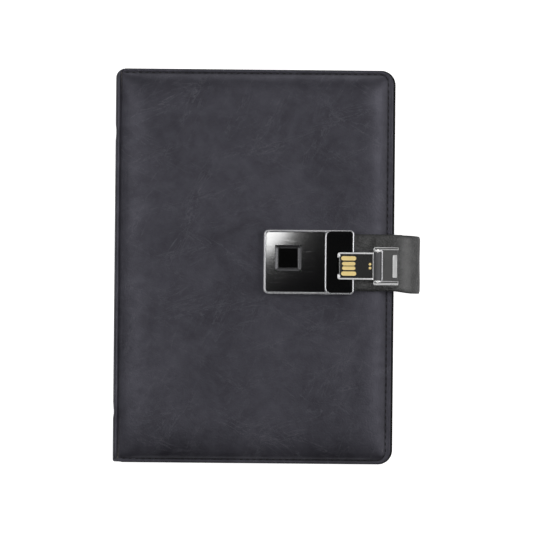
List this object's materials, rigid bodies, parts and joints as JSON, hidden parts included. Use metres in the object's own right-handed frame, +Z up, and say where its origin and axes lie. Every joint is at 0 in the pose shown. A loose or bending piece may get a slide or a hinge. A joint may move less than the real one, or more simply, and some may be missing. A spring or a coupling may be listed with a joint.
{
  "type": "electronic secret diary",
  "caption": "Padded ring-bound diary with a fingerprint lock on its front cover, a strap round its fore-edge and a flip-out plug that the lock holds.",
  "frame": {"origin": "centre of the back cover's flat underside, where the closed diary lies", "axes": "+X from the spine to the fore-edge, +Y from the tail to the head of the page, +Z up through the front cover"},
  "size_m": [0.1363, 0.176, 0.038],
  "materials": {
    "cover_leather": "waxed, fine grain",
    "strap_leather": "smooth grain",
    "lining_fabric": "matte lining",
    "foam": "soft foam",
    "greyboard": "pressed greyboard",
    "page_paper": "uncoated paper",
    "chrome_trim": "polished",
    "ring_steel": "nickel plated",
    "blade_steel": "plain steel",
    "black_fascia": "gloss",
    "grey_plate": "satin",
    "bar_metal": "satin",
    "plug_black": "satin",
    "gold_contacts": "gold plated",
    "black_housing": "fine texture",
    "battery_wrap": "foil pouch",
    "circuit_green": "solder mask",
    "copper_coil": "enamelled wire"
  },
  "bodies": {
    "back_cover": {"back_leather": "cover_leather", "back_foam": "foam", "back_board": "greyboard", "back_lining": "lining_fabric", "strap_tab": "strap_leather", "ring_plate": "ring_steel", "ring_rivets": "ring_steel", "pages_lower": "page_paper"},
    "spine": {"spine_leather": "cover_leather", "spine_board": "greyboard", "spine_lining": "lining_fabric"},
    "front_cover": {"front_leather": "cover_leather", "front_foam": "foam", "front_board": "greyboard", "front_lining": "lining_fabric", "lock_tray": "chrome_trim", "lock_fascia": "black_fascia", "sensor_bezel": "chrome_trim", "sensor_pad": "black_fascia", "lock_block": "black_fascia", "block_trim": "chrome_trim", "lock_circuit": "circuit_green", "solenoid_frame": "blade_steel", "solenoid_coil": "copper_coil", "battery_housing": "black_housing", "battery": "battery_wrap", "power_connector": "black_housing", "lock_screws": "blade_steel"},
    "lock_bolt": {"lock_bolt": "blade_steel"},
    "turning_pages": {"pages_upper": "page_paper"},
    "strap_lower": {"strap_lower": "strap_leather"},
    "strap_side": {"strap_side": "strap_leather"},
    "strap_upper": {"strap_upper": "strap_leather"},
    "strap_end": {"strap_top": "strap_leather", "fitting_base": "chrome_trim", "fitting_plate": "grey_plate", "fitting_bar": "bar_metal", "fitting_rivets": "blade_steel", "hinge_pin": "blade_steel"},
    "plug": {"plug_frame": "chrome_trim", "plug_blade": "plug_black", "plug_contacts": "gold_contacts", "plug_dots": "gold_contacts", "plug_knuckle": "grey_plate"},
    "rings_left": {"ring_blade_left": "blade_steel", "ring_halves_left": "ring_steel"},
    "rings_right": {"ring_blade_right": "blade_steel", "ring_halves_right": "ring_steel"},
    "trigger_head": {"ring_trigger_head": "ring_steel"},
    "trigger_tail": {"ring_trigger_tail": "ring_steel"}
  },
  "joints": [
    {"name": "spine_fold", "type": "hinge", "parent": "back_cover", "child": "spine", "pos_m": [-0.06, 0, 0.0025], "axis": [0, -1, 0], "range_deg": [0, 90]},
    {"name": "cover_open", "type": "hinge", "parent": "spine", "child": "front_cover", "pos_m": [-0.06, 0, 0.0279], "axis": [0, -1, 0], "range_deg": [0, 83]},
    {"name": "pages_turn", "type": "hinge", "parent": "back_cover", "child": "turning_pages", "pos_m": [-0.047, 0, 0.0143], "axis": [0, -1, 0], "range_deg": [0, 177.5]},
    {"name": "strap_bend_1", "type": "hinge", "parent": "back_cover", "child": "strap_lower", "pos_m": [0.065, 0.0021, 0.0045], "axis": [0, 1, 0], "range_deg": [0, 43]},
    {"name": "strap_bend_2", "type": "hinge", "parent": "strap_lower", "child": "strap_side", "pos_m": [0.0725, 0.0021, 0.012], "axis": [0, 1, 0], "range_deg": [0, 43]},
    {"name": "strap_bend_3", "type": "hinge", "parent": "strap_side", "child": "strap_upper", "pos_m": [0.0725, 0.0021, 0.0245], "axis": [0, 1, 0], "range_deg": [0, 43]},
    {"name": "strap_bend_4", "type": "hinge", "parent": "strap_upper", "child": "strap_end", "pos_m": [0.065, 0.0021, 0.032], "axis": [0, 1, 0], "range_deg": [0, 43]},
    {"name": "plug_flip", "type": "hinge", "parent": "strap_end", "child": "plug", "pos_m": [0.0552, 0.0006, 0.0361], "axis": [0, 1, 0], "range_deg": [0, 165]},
    {"name": "bolt_slide", "type": "slide", "parent": "front_cover", "child": "lock_bolt", "axis": [1, 0, 0], "range_m": [0, 0.002]},
    {"name": "ring_open_left", "type": "hinge", "parent": "back_cover", "child": "rings_left", "pos_m": [-0.054, 0, 0.0068], "axis": [0, -1, 0], "range_deg": [0, 6]},
    {"name": "ring_open_right", "type": "hinge", "parent": "back_cover", "child": "rings_right", "pos_m": [-0.04, 0, 0.0068], "axis": [0, 1, 0], "range_deg": [0, 6]},
    {"name": "trigger_head_press", "type": "hinge", "parent": "back_cover", "child": "trigger_head", "pos_m": [-0.047, 0.0792, 0.007], "axis": [-1, 0, 0], "range_deg": [0, 9]},
    {"name": "trigger_tail_press", "type": "hinge", "parent": "back_cover", "child": "trigger_tail", "pos_m": [-0.047, -0.0792, 0.007], "axis": [1, 0, 0], "range_deg": [0, 9]}
  ],
  "couplings": [
    {"joint": "spine_fold", "follows": "cover_open", "ratio": 1.0843},
    {"joint": "pages_turn", "follows": "cover_open", "ratio": 2.1386},
    {"joint": "strap_bend_2", "follows": "strap_bend_1", "ratio": 1},
    {"joint": "strap_bend_3", "follows": "strap_bend_1", "ratio": 1},
    {"joint": "strap_bend_4", "follows": "strap_bend_1", "ratio": 1},
    {"joint": "ring_open_right", "follows": "ring_open_left", "ratio": 1},
    {"joint": "trigger_head_press", "follows": "ring_open_left", "ratio": 1.5},
    {"joint": "trigger_tail_press", "follows": "ring_open_left", "ratio": 1.5}
  ]
}
